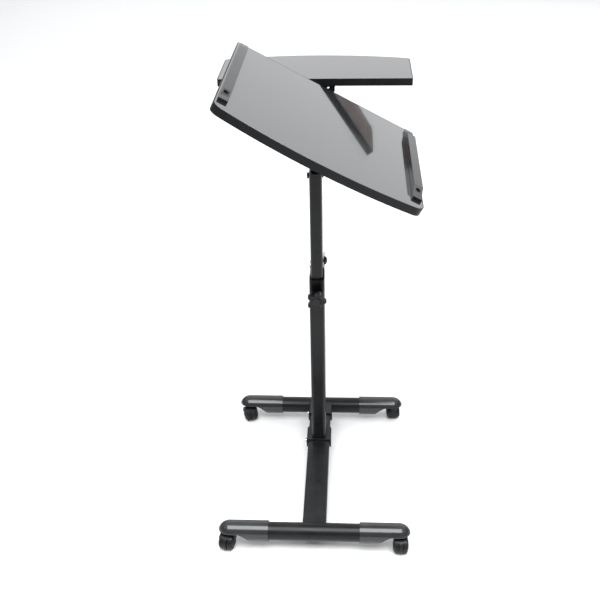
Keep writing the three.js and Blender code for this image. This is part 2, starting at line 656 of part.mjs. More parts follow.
function buildTop() {
  const beam = shapeOf(circle(BEAM_RADIUS, 28), [circle(BEAM_RADIUS - BEAM_WALL, 28)]);
  addPiece(table, 'tilt_beam', prismY(beam, BEAM_NEAR_Y, BEAM_FAR_Y), 'black_steel')
    .position.z = PIVOT_Z;
  const plugRadius = BEAM_RADIUS - BEAM_WALL - GAP;
  addPiece(table, 'beam_end_plug', join(
    rod('y', plugRadius, BEAM_FAR_Y - 14, BEAM_FAR_Y + 1, [0, 0], 28),
    rod('y', BEAM_RADIUS, BEAM_FAR_Y + GAP, BEAM_FAR_Y + 3, [0, 0], 28),
  ), 'black_plastic').position.z = PIVOT_Z;
  addPiece(table, 'beam_nut_plug', cut(
    rod('y', plugRadius, BEAM_NEAR_Y + 1, BEAM_NEAR_Y + 20, [0, 0], 28),
    rod('y', 4.4, BEAM_NEAR_Y - 2, BEAM_NEAR_Y + 24, [0, 0], 16),
  ), 'black_steel').position.z = PIVOT_Z;
  addPiece(
    table,
    'tilt_knob',
    starKnob(BEAM_NEAR_Y - 18, BEAM_NEAR_Y - GAP, BEAM_NEAR_Y + 16),
    'black_plastic',
  ).position.z = PIVOT_Z;

  const tilting = new THREE.Group();
  tilting.position.z = PIVOT_Z;
  tilting.rotation.y = THREE.MathUtils.degToRad(TILT);
  table.add(tilting);
  const near = boardPieces(NEAR_BOARD);
  addPiece(tilting, 'near_board', near.core, 'gloss_board');
  addPiece(tilting, 'near_edge_band', near.band, 'edge_band');
  addBrackets(tilting, NEAR_BOARD, NEAR_BRACKETS, 46, 0.45);

  for (const [name, side] of [['front', 1], ['rear', -1]]) {
    const rail = new THREE.Group();
    rail.position.set(side * (BOARD_DEPTH / 2 - STOP_INSET), 0, NEAR_BOARD.top + GAP);
    tilting.add(rail);
    addPiece(rail, `${name}_stop`, edgeStop(), 'stop_plastic');
    STOP_SCREWS.forEach((y, i) => {
      addPiece(rail, `${name}_stop_screw_${i + 1}`, stopScrew(y), 'black_fastener');
    });
  }

  const level = new THREE.Group();
  level.position.z = PIVOT_Z;
  table.add(level);
  const far = boardPieces(FAR_BOARD);
  addPiece(level, 'far_board', far.core, 'gloss_board');
  addPiece(level, 'far_edge_band', far.band, 'edge_band');
  addBrackets(level, FAR_BOARD, FAR_BRACKETS, 37, GAP);
}

buildBase();
buildCorners();
buildLowerMast();
buildHeightKnob();
buildUpperMast();
buildTop();

// The origin: the middle of the bounding box, on the floor.
table.updateMatrixWorld(true);
const extent = new THREE.Box3().setFromObject(table, true);
const middle = extent.getCenter(new THREE.Vector3());
table.position.set(-middle.x, -middle.y, -extent.min.z);

export default table;
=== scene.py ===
# %% [markdown]
# # A rolling drafting table
#
# This lesson dresses a steel drafting table that already exists as a CAD model. Its base is
# two round tubes and a flat crossbar on four casters. A mast slides up and down inside another,
# and on top sit two glossy black boards: a large one that tilts and a narrow one that stays level.
#
# The CAD model fixes every place and size. Here each part gets its rounded edges, its small
# details and its finish.

import json
import math

import bmesh
import bpy
from mathutils import Matrix, Vector

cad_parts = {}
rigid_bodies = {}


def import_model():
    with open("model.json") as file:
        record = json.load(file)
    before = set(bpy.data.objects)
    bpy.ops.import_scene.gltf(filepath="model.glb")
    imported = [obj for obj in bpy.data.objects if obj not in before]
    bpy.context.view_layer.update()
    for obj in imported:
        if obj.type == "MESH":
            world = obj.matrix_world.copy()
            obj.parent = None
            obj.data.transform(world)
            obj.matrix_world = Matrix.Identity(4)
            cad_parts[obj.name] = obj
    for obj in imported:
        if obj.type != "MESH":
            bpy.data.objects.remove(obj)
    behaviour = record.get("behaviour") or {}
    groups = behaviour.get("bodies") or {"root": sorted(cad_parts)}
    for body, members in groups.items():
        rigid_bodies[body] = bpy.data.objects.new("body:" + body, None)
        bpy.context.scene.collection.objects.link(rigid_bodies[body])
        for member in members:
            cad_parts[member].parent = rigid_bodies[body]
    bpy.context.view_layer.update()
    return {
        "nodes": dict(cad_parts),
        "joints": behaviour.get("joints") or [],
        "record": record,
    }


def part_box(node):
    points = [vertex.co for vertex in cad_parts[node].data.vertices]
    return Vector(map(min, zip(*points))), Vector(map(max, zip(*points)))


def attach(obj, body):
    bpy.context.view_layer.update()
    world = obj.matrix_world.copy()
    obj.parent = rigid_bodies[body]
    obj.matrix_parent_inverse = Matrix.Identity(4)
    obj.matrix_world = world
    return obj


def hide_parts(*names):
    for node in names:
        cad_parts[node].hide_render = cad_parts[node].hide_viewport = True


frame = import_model()
bpy.ops.object.select_all(action="DESELECT")
joints = {joint["name"]: joint for joint in frame["joints"]}

# %% [markdown]
# ## Sizes that the whole lesson uses
#
# Blender works in metres, so a small helper lets us write millimetres where that is easier to
# read. The large board is tilted, and its angle comes from the frame: the line between the
# middles of the two edge stops lies along the board.

# %% Sizes and directions
MM = 0.001


def middle_of(node):
    low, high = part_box(node)
    return (low + high) / 2


across_board = (middle_of("front_stop") - middle_of("rear_stop")).normalized()
TILT = math.atan2(-across_board.z, across_board.x)
BOARD_NORMAL = Vector((math.sin(TILT), 0, math.cos(TILT)))
print("board tilt in degrees:", round(math.degrees(TILT), 2))

# %% [markdown]
# ## Node groups
#
# Every finish on this table needs the same three effects at different strengths. A group keeps
# each effect in one place. Groups give out masks and heights only, and the shader that uses them
# stays in the material.
#
# - `surface_grain` is the fine unevenness of a coating or a moulded surface.
# - `handling` is the slow variation in gloss that hands and cloths leave, with some thin scratches.
# - `settled_dust` is strongest where a surface faces up, and patchy.


# %% Helpers for node groups
def new_group(name, inputs, outputs):
    group = bpy.data.node_groups.new(name, "ShaderNodeTree")
    for label, value in inputs.items():
        socket = group.interface.new_socket(label, in_out="INPUT", socket_type="NodeSocketFloat")
        socket.default_value = value
    for label in outputs:
        group.interface.new_socket(label, in_out="OUTPUT", socket_type="NodeSocketFloat")
    start = group.nodes.new("NodeGroupInput")
    end = group.nodes.new("NodeGroupOutput")
    return group, start, end


def add_node(tree, kind, **settings):
    node = tree.nodes.new(kind)
    for key, value in settings.items():
        setattr(node, key, value)
    return node


def noise(tree, scale, detail=3.0, roughness=0.5, stretch=None):
    coordinates = add_node(tree, "ShaderNodeTexCoord")
    texture = add_node(tree, "ShaderNodeTexNoise")
    texture.inputs["Detail"].default_value = detail
    texture.inputs["Roughness"].default_value = roughness
    source = coordinates.outputs["Object"]
    if stretch is not None:
        mapping = add_node(tree, "ShaderNodeMapping")
        mapping.inputs["Scale"].default_value = stretch
        tree.links.new(source, mapping.inputs["Vector"])
        source = mapping.outputs["Vector"]
    tree.links.new(source, texture.inputs["Vector"])
    if isinstance(scale, (int, float)):
        texture.inputs["Scale"].default_value = scale
    else:
        tree.links.new(scale, texture.inputs["Scale"])
    return texture.outputs["Fac"]


def calculate(tree, operation, *values, clamp=False):
    node = add_node(tree, "ShaderNodeMath", operation=operation, use_clamp=clamp)
    for socket, value in zip(node.inputs, values):
        if isinstance(value, (int, float)):
            socket.default_value = value
        else:
            tree.links.new(value, socket)
    return node.outputs["Value"]


def spread(tree, value, low, high, to_low=0.0, to_high=1.0):
    node = add_node(tree, "ShaderNodeMapRange", interpolation_type="SMOOTHSTEP")
    limits = {"From Min": low, "From Max": high, "To Min": to_low, "To Max": to_high}
    for label, number in limits.items():
        node.inputs[label].default_value = number
    tree.links.new(value, node.inputs["Value"])
    return node.outputs["Result"]


# %% Grain
COARSE_SCALE_RATIO = 0.22
COARSE_HEIGHT_RATIO = 0.6
grain_group, start, end = new_group("surface_grain", {"Scale": 900.0}, ["Height", "Speck"])
fine = noise(grain_group, start.outputs["Scale"], detail=2.0)
coarse_scale = calculate(grain_group, "MULTIPLY", start.outputs["Scale"], COARSE_SCALE_RATIO)
coarse = noise(grain_group, coarse_scale, detail=2.0)
lumps = calculate(grain_group, "MULTIPLY", coarse, COARSE_HEIGHT_RATIO)
grain_group.links.new(calculate(grain_group, "ADD", fine, lumps), end.inputs["Height"])
grain_group.links.new(spread(grain_group, fine, low=0.58, high=0.7), end.inputs["Speck"])
print("grain nodes:", len(grain_group.nodes))

# %% Marks of handling
SCRATCH_SCALE = 60.0
SCRATCH_STRETCH = (0.6, 14.0, 6.0)
SCRATCH_WIDTH = 0.008
SCRATCHED_PLACES_SCALE = 9.0
NOISE_MIDDLE = 0.5
handling_group, start, end = new_group("handling", {"Scale": 14.0}, ["Smudge", "Scratch"])
cloudy = noise(handling_group, start.outputs["Scale"], detail=4.0, roughness=0.6)
handling_group.links.new(spread(handling_group, cloudy, low=0.35, high=0.7), end.inputs["Smudge"])
hair = noise(handling_group, SCRATCH_SCALE, detail=3.0, roughness=0.7, stretch=SCRATCH_STRETCH)
from_middle = calculate(handling_group, "SUBTRACT", hair, NOISE_MIDDLE)
hair_line = calculate(handling_group, "ABSOLUTE", from_middle)
thin = spread(handling_group, hair_line, low=0.0, high=SCRATCH_WIDTH, to_low=1.0, to_high=0.0)
where = spread(handling_group, noise(handling_group, SCRATCHED_PLACES_SCALE), low=0.52, high=0.68)
handling_group.links.new(calculate(handling_group, "MULTIPLY", thin, where), end.inputs["Scratch"])
print("handling nodes:", len(handling_group.nodes))

# %% Dust
PATCH_SCALE = 38.0
SPECK_SCALE = 1400.0
SPECK_SHARE = 0.5
dust_group, start, end = new_group("settled_dust", {"Amount": 0.3}, ["Dust"])
geometry = add_node(dust_group, "ShaderNodeNewGeometry")
split = add_node(dust_group, "ShaderNodeSeparateXYZ")
dust_group.links.new(geometry.outputs["Normal"], split.inputs["Vector"])
facing_up = spread(dust_group, split.outputs["Z"], low=0.35, high=1.0)
patches = noise(dust_group, PATCH_SCALE, detail=6.0, roughness=0.7)
patchy = spread(dust_group, patches, low=0.38, high=0.8)
specks = spread(dust_group, noise(dust_group, SPECK_SCALE, detail=1.0), low=0.6, high=0.78)
both = calculate(dust_group, "ADD", patchy, calculate(dust_group, "MULTIPLY", specks, SPECK_SHARE))
lying = calculate(dust_group, "MULTIPLY", both, facing_up)
dust = calculate(dust_group, "MULTIPLY", lying, start.outputs["Amount"], clamp=True)
dust_group.links.new(dust, end.inputs["Dust"])
print("shared groups:", [group.name for group in bpy.data.node_groups])

# %% [markdown]
# ## The finishes
#
# Nearly all the finishes are black, so what tells them apart is gloss and texture. Each could be
# a material of its own, but one function that builds them from the three groups keeps them alike
# where they should be. Powder coat is satin with a fine orange peel. Moulded plastic is duller,
# with a slightly deeper grain. The boards have a glossy top sheet and a brown backing sheet. The
# duller black finishes have an index of refraction below a real one, because the large softboxes
# would otherwise wash their black out to grey.


# %% The function that makes a finish
DUST_COLOUR = (0.32, 0.31, 0.29)
SMUDGE_SHARE = 0.6
FLECK_SHARE = 0.4
DUST_DULLS = 0.5
GRAIN_STRENGTH = 0.35
COAT_ROUGHNESS = 0.03


def make_finish(name, colour, lift, roughness, rougher, grain_scale, grain_depth, dust_amount,
                metallic=0.0, coat=0.0, scratches=0.15, ior=1.5):
    """Colour goes up to lift in the smudges, and roughness to rougher."""
    material = bpy.data.materials.new(name)
    material.use_nodes = True
    tree = material.node_tree
    shader = tree.nodes["Principled BSDF"]
    shader.inputs["Metallic"].default_value = metallic
    shader.inputs["IOR"].default_value = ior
    shader.inputs["Coat Weight"].default_value = coat
    shader.inputs["Coat Roughness"].default_value = COAT_ROUGHNESS
    grain = add_node(tree, "ShaderNodeGroup", node_tree=grain_group)
    grain.inputs["Scale"].default_value = grain_scale
    marks = add_node(tree, "ShaderNodeGroup", node_tree=handling_group)
    settled = add_node(tree, "ShaderNodeGroup", node_tree=dust_group)
    settled.inputs["Amount"].default_value = dust_amount

    tone = add_node(tree, "ShaderNodeMix", data_type="RGBA")
    tone.inputs["A"].default_value = (*colour, 1)
    tone.inputs["B"].default_value = (*lift, 1)
    blotch = calculate(tree, "MULTIPLY", marks.outputs["Smudge"], SMUDGE_SHARE)
    fleck = calculate(tree, "MULTIPLY", grain.outputs["Speck"], FLECK_SHARE)
    tree.links.new(calculate(tree, "ADD", blotch, fleck, clamp=True), tone.inputs["Factor"])
    dusty = add_node(tree, "ShaderNodeMix", data_type="RGBA")
    dusty.inputs["B"].default_value = (*DUST_COLOUR, 1)
    tree.links.new(tone.outputs["Result"], dusty.inputs["A"])
    tree.links.new(settled.outputs["Dust"], dusty.inputs["Factor"])
    tree.links.new(dusty.outputs["Result"], shader.inputs["Base Color"])

    gloss = calculate(tree, "MULTIPLY", marks.outputs["Smudge"], rougher - roughness)
    gloss = calculate(tree, "ADD", gloss, roughness)
    scuffed = calculate(tree, "MULTIPLY", marks.outputs["Scratch"], scratches)
    powdery = calculate(tree, "MULTIPLY", settled.outputs["Dust"], DUST_DULLS)
    gloss = calculate(tree, "ADD", gloss, calculate(tree, "ADD", scuffed, powdery), clamp=True)
    tree.links.new(gloss, shader.inputs["Roughness"])

    bump = add_node(tree, "ShaderNodeBump")
    bump.inputs["Strength"].default_value = GRAIN_STRENGTH
    bump.inputs["Distance"].default_value = grain_depth
    tree.links.new(grain.outputs["Height"], bump.inputs["Height"])
    tree.links.new(bump.outputs["Normal"], shader.inputs["Normal"])
    return material


# %% Finishes of the metal parts
powder_coat = make_finish(
    "powder_coat", colour=(0.007, 0.0072, 0.008), lift=(0.012, 0.0122, 0.0135), roughness=0.27,
    rougher=0.35, grain_scale=1300.0, grain_depth=0.05 * MM, dust_amount=0.02, ior=1.29)
black_oxide = make_finish(
    "black_oxide", colour=(0.03, 0.03, 0.033), lift=(0.06, 0.058, 0.056), roughness=0.25,
    rougher=0.45, grain_scale=1800.0, grain_depth=0.03 * MM, dust_amount=0.04, metallic=0.85)
zinc_plate = make_finish(
    "zinc_plate", colour=(0.5, 0.51, 0.52), lift=(0.62, 0.62, 0.62), roughness=0.22,
    rougher=0.36, grain_scale=1500.0, grain_depth=0.02 * MM, dust_amount=0.05, metallic=1.0)

# %% Finishes of the plastic parts
moulded_plastic = make_finish(
    "moulded_plastic", colour=(0.008, 0.008, 0.009), lift=(0.015, 0.015, 0.017), roughness=0.38,
    rougher=0.5, grain_scale=1500.0, grain_depth=0.06 * MM, dust_amount=0.04, ior=1.33)
cap_plastic = make_finish(
    "cap_plastic", colour=(0.018, 0.0185, 0.02), lift=(0.028, 0.0285, 0.031), roughness=0.15,
    rougher=0.22, grain_scale=900.0, grain_depth=0.03 * MM, dust_amount=0.05)
bush_nylon = make_finish(
    "bush_nylon", colour=(0.002, 0.002, 0.0025), lift=(0.005, 0.005, 0.006), roughness=0.3,
    rougher=0.42, grain_scale=1500.0, grain_depth=0.05 * MM, dust_amount=0.02, ior=1.22)
wheel_nylon = make_finish(
    "wheel_nylon", colour=(0.006, 0.006, 0.007), lift=(0.012, 0.012, 0.013), roughness=0.4,
    rougher=0.55, grain_scale=1200.0, grain_depth=0.05 * MM, dust_amount=0.05, ior=1.3)
stop_gloss = make_finish(
    "stop_gloss", colour=(0.006, 0.0062, 0.007), lift=(0.011, 0.0114, 0.0125), roughness=0.16,
    rougher=0.24, grain_scale=1000.0, grain_depth=0.02 * MM, dust_amount=0.02, coat=0.15)

# %% Finishes of the boards
gloss_laminate = make_finish(
    "gloss_laminate", colour=(0.010, 0.0105, 0.012), lift=(0.014, 0.0145, 0.016), roughness=0.1,
    rougher=0.13, grain_scale=260.0, grain_depth=0.004 * MM, dust_amount=0.006, coat=1.0,
    scratches=0.05, ior=1.7)
board_edging = make_finish(
    "board_edging", colour=(0.005, 0.0053, 0.006), lift=(0.009, 0.0094, 0.0105), roughness=0.36,
    rougher=0.46, grain_scale=1100.0, grain_depth=0.04 * MM, dust_amount=0.015, ior=1.28)
backing_sheet = make_finish(
    "backing_sheet", colour=(0.11, 0.07, 0.064), lift=(0.14, 0.092, 0.084), roughness=0.5,
    rougher=0.65, grain_scale=700.0, grain_depth=0.06 * MM, dust_amount=0.0)

# %% Which finish each slot takes
FINISH_OF_SLOT = {
    "black_steel": powder_coat,
    "black_fastener": black_oxide,
    "bright_steel": zinc_plate,
    "black_plastic": moulded_plastic,
    "cap_plastic": cap_plastic,
    "wheel_plastic": wheel_nylon,
    "gloss_board": gloss_laminate,
    "edge_band": board_edging,
    "stop_plastic": stop_gloss,
}
print("finishes:", sorted(material.name for material in bpy.data.materials))

# %% [markdown]
# ## Rounded copies of CAD parts
#
# A tube or a bracket that comes from CAD already has the right shape, but its edges are knife
# sharp, and no real edge is. It could be modelled again from a primitive, but nothing would be
# gained. The way here is to copy the CAD mesh, weld its loose triangles, dissolve the flat ones
# into whole faces, and bevel what is left. The copy then stands for the CAD part. Weighted
# normals keep the large flat faces flat in the light.


# %% Helpers for pieces
SMOOTH_ANGLE = math.radians(40)
FLAT_ANGLE = math.radians(0.5)
WELD_DISTANCE = 0.004 * MM
SLOT_OF_NODE = {row["node"]: row["material_slot"] for row in frame["record"]["subparts"]}
BODY_OF_NODE = {
    node: body for body, nodes in frame["record"]["behaviour"]["bodies"].items() for node in nodes
}


def only(piece):
    bpy.ops.object.select_all(action="DESELECT")
    piece.select_set(True)
    bpy.context.view_layer.objects.active = piece


def settle(piece):
    """The piece's place goes into its mesh, as on a CAD part."""
    only(piece)
    bpy.ops.object.transform_apply(location=True, rotation=True, scale=True)


def apply_modifiers(piece):
    only(piece)
    for modifier in list(piece.modifiers):
        bpy.ops.object.modifier_apply(modifier=modifier.name)


def round_edges(piece, width, segments=2, angle=32):
    bevel = piece.modifiers.new("round", "BEVEL")
    bevel.width = width
    bevel.segments = segments
    bevel.limit_method = "ANGLE"
    bevel.angle_limit = math.radians(angle)
    apply_modifiers(piece)
    only(piece)
    bpy.ops.object.shade_smooth_by_angle(angle=SMOOTH_ANGLE)
    piece.modifiers.new("flat_faces_stay_flat", "WEIGHTED_NORMAL").keep_sharp = True
    apply_modifiers(piece)


def weld(piece):
    only(piece)
    bpy.ops.object.mode_set(mode="EDIT")
    bpy.ops.mesh.select_all(action="SELECT")
    bpy.ops.mesh.remove_doubles(threshold=WELD_DISTANCE)
    bpy.ops.mesh.dissolve_limited(angle_limit=FLAT_ANGLE)
    bpy.ops.object.mode_set(mode="OBJECT")


def hand_over(piece, name, node):
    """The piece gets its name and finish, moves with its CAD part's body and stands for it."""
    piece.name = name
    if not piece.data.materials:
        piece.data.materials.append(FINISH_OF_SLOT[SLOT_OF_NODE[node]])
    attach(piece, BODY_OF_NODE[node])
    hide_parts(node)
    return piece


def rounded_copy(node, width, segments=2, finish=None):
    piece = frame["nodes"][node].copy()
    piece.data = piece.data.copy()
    bpy.context.scene.collection.objects.link(piece)
    for key in list(piece.keys()):
        del piece[key]
    piece.parent = None
    piece.data.materials.clear()
    if finish is not None:
        piece.data.materials.append(finish)
    weld(piece)
    round_edges(piece, width, segments)
    return hand_over(piece, node + "_shape", node)


# %% Base, mast and brackets
# How far each part's edges are rounded, in millimetres.
EDGE_ROUNDING = {
    "crossbar_tube": 0.35, "mast_foot_bracket": 0.6, "foot_trim_near": 0.4, "foot_trim_far": 0.4,
    "far_leg_bracket": 0.6, "lower_mast_tube": 0.3, "clamp_boss": 0.5, "bush_spring_clip": 0.2,
    "upper_mast_tube": 0.3, "upper_tube_glide": 0.5, "tilt_head": 0.6, "tilt_beam": 0.3,
    "beam_end_plug": 0.8, "beam_nut_plug": 0.3, "near_bracket_a": 0.5, "near_bracket_b": 0.5,
    "far_bracket_a": 0.5, "far_bracket_b": 0.5, "foot_bolt_near": 0.9, "foot_bolt_far": 0.9,
    "head_bolt": 0.6, "near_edge_band": 0.25, "far_edge_band": 0.25, "front_stop": 0.7,
    "rear_stop": 0.7,
}
for node, width in EDGE_ROUNDING.items():
    rounded_copy(node, width * MM)
rounded_copy("mast_bush", width=0.5 * MM, segments=3, finish=bush_nylon)
for node in frame["nodes"]:
    if node.startswith("caster_housing"):
        rounded_copy(node, width=0.7 * MM, segments=3)
copies = [piece for piece in bpy.data.objects if piece.name.endswith("_shape")]
print("rounded copies:", len(copies))

# %% [markdown]
# ## The boards
#
# Each board is particle board with a gloss sheet on top and a plain brown sheet underneath. The
# CAD outline is right, so these are rounded copies as well. The sheet underneath could be a thin
# piece of its own, but it is glued on and shows no edge. So every face that looks down gets the
# second finish instead.


# %% Boards with two faces
BOARD_ROUNDING = 0.3 * MM
STRAIGHT_UP = Vector((0, 0, 1))
# A face looks a certain way if its normal is within about 25 degrees of it.
FACES_THAT_WAY = 0.9


def add_backing(piece, up):
    piece.data.materials.append(backing_sheet)
    underside = [face for face in piece.data.polygons if face.normal.dot(up) < -FACES_THAT_WAY]
    for face in underside:
        face.material_index = 1
    print(piece.name, "underside faces:", len(underside))


add_backing(rounded_copy("near_board", BOARD_ROUNDING), BOARD_NORMAL)
add_backing(rounded_copy("far_board", BOARD_ROUNDING), STRAIGHT_UP)

# %% [markdown]
# ## Modelling by hand
#
# The rest is modelled from primitives, as we would do it in the viewport. Each of these helpers
# is one habit of hand modelling: start from nothing selected, choose faces or rims by where they
# are, extrude them, and cut one shape out of another.


# %% Helpers for hand modelling
AXIS_TURN = {"X": (0, math.pi / 2, 0), "Y": (math.pi / 2, 0, 0), "Z": (0, 0, 0)}
# Points this close to a plane count as lying on it.
HAIR = 0.1 * MM


def cylinder(radius, start, end, axis="Z", vertices=48):
    bpy.ops.object.select_all(action="DESELECT")
    centre = [0, 0, 0]
    centre["XYZ".index(axis)] = (start + end) / 2
    bpy.ops.mesh.primitive_cylinder_add(
        vertices=vertices, radius=radius, depth=abs(end - start), location=centre,
        rotation=AXIS_TURN[axis])
    settle(bpy.context.object)
    return bpy.context.object


def box(low, high):
    bpy.ops.object.select_all(action="DESELECT")
    low, high = Vector(low), Vector(high)
    bpy.ops.mesh.primitive_cube_add(size=1, location=(low + high) / 2, scale=high - low)
    settle(bpy.context.object)
    return bpy.context.object


def pick(piece, kind, test):
    """Open the piece in edit mode with only the faces or vertices that pass the test selected."""
    only(piece)
    bpy.ops.object.mode_set(mode="EDIT")
    bpy.ops.mesh.select_mode(type="FACE" if kind == "faces" else "VERT")
    bpy.ops.mesh.select_all(action="DESELECT")
    mesh = bmesh.from_edit_mesh(piece.data)
    for element in getattr(mesh, kind):
        element.select_set(bool(test(element)))
    mesh.select_flush_mode()
    bmesh.update_edit_mesh(piece.data)


def extrude(move, scale=(1, 1, 1)):
    """Pull out what is selected, then grow or shrink it about its own middle."""
    bpy.ops.mesh.extrude_region_move(TRANSFORM_OT_translate={"value": move})
    if scale != (1, 1, 1):
        bpy.ops.transform.resize(value=scale)


def close():
    """Make every face look outwards and leave edit mode."""
    bpy.ops.mesh.select_all(action="SELECT")
    bpy.ops.mesh.normals_make_consistent(inside=False)
    bpy.ops.object.mode_set(mode="OBJECT")


def carve(piece, *cutters):
    for cutter in cutters:
        cut = piece.modifiers.new("cut", "BOOLEAN")
        cut.operation = "DIFFERENCE"
        cut.solver = "EXACT"
        cut.object = cutter
        apply_modifiers(piece)
        bpy.data.objects.remove(cutter)


def merge(*pieces):
    bpy.ops.object.select_all(action="DESELECT")
    for piece in pieces:
        piece.select_set(True)
    bpy.context.view_layer.objects.active = pieces[0]
    bpy.ops.object.join()
    return pieces[0]


def place_copy(pattern, place, name, node):
    piece = pattern.copy()
    piece.data = pattern.data.copy()
    piece.data.transform(place)
    bpy.context.scene.collection.objects.link(piece)
    hand_over(piece, name, node)


# %% [markdown]
# ## Leg tubes and end caps
#
# A leg is a round tube with a plastic cap pushed over each end. The tube is a cylinder with its
# end faces deleted and a solidified wall. The cap starts as half a sphere, and its open rim is
# extruded back over the tube, turned in at the mouth, and extruded forward again as the bore.
# A rounded block is then cut away under the nose, which leaves room for the caster, and a hole
# takes the caster's stem. The outside could be spun from a profile as well, but half a sphere
# gives the bullet nose at once.

# %% Leg tubes
LEG_RADIUS = 19 * MM
LEG_WALL = 1.5 * MM
for node in ("near_leg_tube", "far_leg_tube"):
    low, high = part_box(node)
    leg = cylinder(LEG_RADIUS, low.x, high.x, "X", 64)
    leg.data.transform(Matrix.Translation((0, (low.y + high.y) / 2, (low.z + high.z) / 2)))
    pick(leg, "faces", lambda face: abs(face.normal.x) > FACES_THAT_WAY)
    bpy.ops.mesh.delete(type="FACE")
    bpy.ops.object.mode_set(mode="OBJECT")
    wall = leg.modifiers.new("wall", "SOLIDIFY")
    wall.thickness = LEG_WALL
    wall.offset = -1
    apply_modifiers(leg)
    round_edges(leg, width=0.3 * MM)
    hand_over(leg, node + "_shape", node)
print("leg length in mm:", round((high.x - low.x) / MM, 1))

# %% The cap, modelled once
CAP_RADIUS = 22 * MM
CAP_LENGTH = 106 * MM
CAP_NOSE = 24 * MM
SLEEVE = 43 * MM
BORE_RADIUS = LEG_RADIUS + 0.3 * MM
bpy.ops.object.select_all(action="DESELECT")
bpy.ops.mesh.primitive_uv_sphere_add(
    segments=64, ring_count=32, radius=CAP_RADIUS, rotation=AXIS_TURN["X"])
cap = bpy.context.object
settle(cap)
pick(cap, "verts", lambda vert: vert.co.x < -HAIR)
bpy.ops.mesh.delete(type="VERT")
bpy.ops.object.mode_set(mode="OBJECT")
cap.scale.x = CAP_NOSE / CAP_RADIUS
settle(cap)
pick(cap, "verts", lambda vert: vert.co.x < HAIR)
extrude((CAP_NOSE - CAP_LENGTH, 0, 0))
extrude((0, 0, 0), (1, BORE_RADIUS / CAP_RADIUS, BORE_RADIUS / CAP_RADIUS))
extrude((SLEEVE, 0, 0))
bpy.ops.mesh.edge_face_add()
close()
print("cap faces before the cut:", len(cap.data.polygons))

# %% Room for the caster under the nose
# Places are measured from the middle of the nose's base, where the cap's own origin is.
CUT_LOW = Vector((-46, -30, -40)) * MM
CUT_HIGH = Vector((40, 30, 6)) * MM
CUT_CURVE = 29 * MM
STEM_HOLE_RADIUS = 5.4 * MM
STEM_HOLE_BOTTOM = -10 * MM
STEM_HOLE_TOP = 16 * MM
STEM_FROM_TIP = 22 * MM
CUT_ROUNDNESS = 0.4
block = box(CUT_LOW, CUT_HIGH)
pick(block, "verts", lambda vert: vert.co.x < 0 and vert.co.z > 0)
bpy.ops.mesh.select_mode(type="EDGE")
bpy.ops.mesh.bevel(offset=CUT_CURVE, segments=14, profile=CUT_ROUNDNESS)
bpy.ops.object.mode_set(mode="OBJECT")
socket = cylinder(STEM_HOLE_RADIUS, STEM_HOLE_BOTTOM, STEM_HOLE_TOP)
socket.data.transform(Matrix.Translation((CAP_NOSE - STEM_FROM_TIP, 0, 0)))
carve(cap, block, socket)
round_edges(cap, width=0.6 * MM, segments=3)
print("cap faces:", len(cap.data.polygons))

# %% Four caps
CORNERS = ("near_rear", "near_front", "far_rear", "far_front")
for corner in CORNERS:
    low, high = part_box("leg_cap_" + corner)
    front = corner.endswith("front")
    tip = high.x - CAP_NOSE if front else low.x + CAP_NOSE
    place = Matrix.Translation((tip, (low.y + high.y) / 2, (low.z + high.z) / 2))
    turn = Matrix.Rotation(0 if front else math.pi, 4, "Z")
    place_copy(cap, place @ turn, "end_cap_" + corner, "leg_cap_" + corner)
bpy.data.objects.remove(cap)

# %% [markdown]
# ## Caster wheels
#
# A caster's two wheels share an axle. Each is a short cylinder whose outer face is extruded and
# shrunk in steps into a shallow dome with a ring groove. Spinning a profile would do the same,
# but the steps are easier to change one by one. A Mirror modifier makes the second wheel. The
# pair is copied to the four corners with the axle's place and direction from the joints.

# %% The pair of wheels, modelled once
WHEEL_RADIUS = 17 * MM
WHEEL_INSIDE = 4.4 * MM
TREAD_END = 11.8 * MM
AXLE_RADIUS = 2.5 * MM
AXLE_HALF = 5 * MM
# Each step is how far out it goes and the radius it ends at, in millimetres.
DOME_STEPS = (
    (1.6, 15.2), (1.0, 14.0), (-0.7, 13.4), (0.0, 12.2), (1.3, 11.6), (1.0, 8.0), (-0.8, 7.4),
    (0.0, 4.4), (0.9, 4.0),
)
wheels = cylinder(WHEEL_RADIUS, WHEEL_INSIDE, TREAD_END, "X", 64)
pick(wheels, "faces", lambda face: face.normal.x > FACES_THAT_WAY)
radius = WHEEL_RADIUS / MM
for step, next_radius in DOME_STEPS:
    ratio = next_radius / radius
    extrude((step * MM, 0, 0), (1, ratio, ratio))
    radius = next_radius
close()
mirror = wheels.modifiers.new("second_wheel", "MIRROR")
mirror.use_axis = (True, False, False)
apply_modifiers(wheels)
round_edges(wheels, width=0.6 * MM, segments=3, angle=30)
axle = cylinder(AXLE_RADIUS, -AXLE_HALF, AXLE_HALF, "X", 32)
wheels = merge(wheels, axle)
for corner in CORNERS:
    joint = joints["roll_" + corner]
    spin = Vector((1, 0, 0)).rotation_difference(Vector(joint["axis"])).to_matrix().to_4x4()
    place = Matrix.Translation(joint["pos_m"]) @ spin
    place_copy(wheels, place, "wheel_pair_" + corner, "caster_wheels_" + corner)
print("faces in a pair of wheels:", len(wheels.data.polygons))
bpy.data.objects.remove(wheels)

# %% [markdown]
# ## Star knobs
#
# Both clamps have the same moulded knob with five lobes. Five cylinders around a sixth would
# leave sharp corners between them. So it starts as one cylinder, and a gentle wave around its
# edge makes the lobes. The face is inset and pressed in a little, and a round-edged button sits
# in the middle. A neck and a screw reach back from it to where the clamp is.

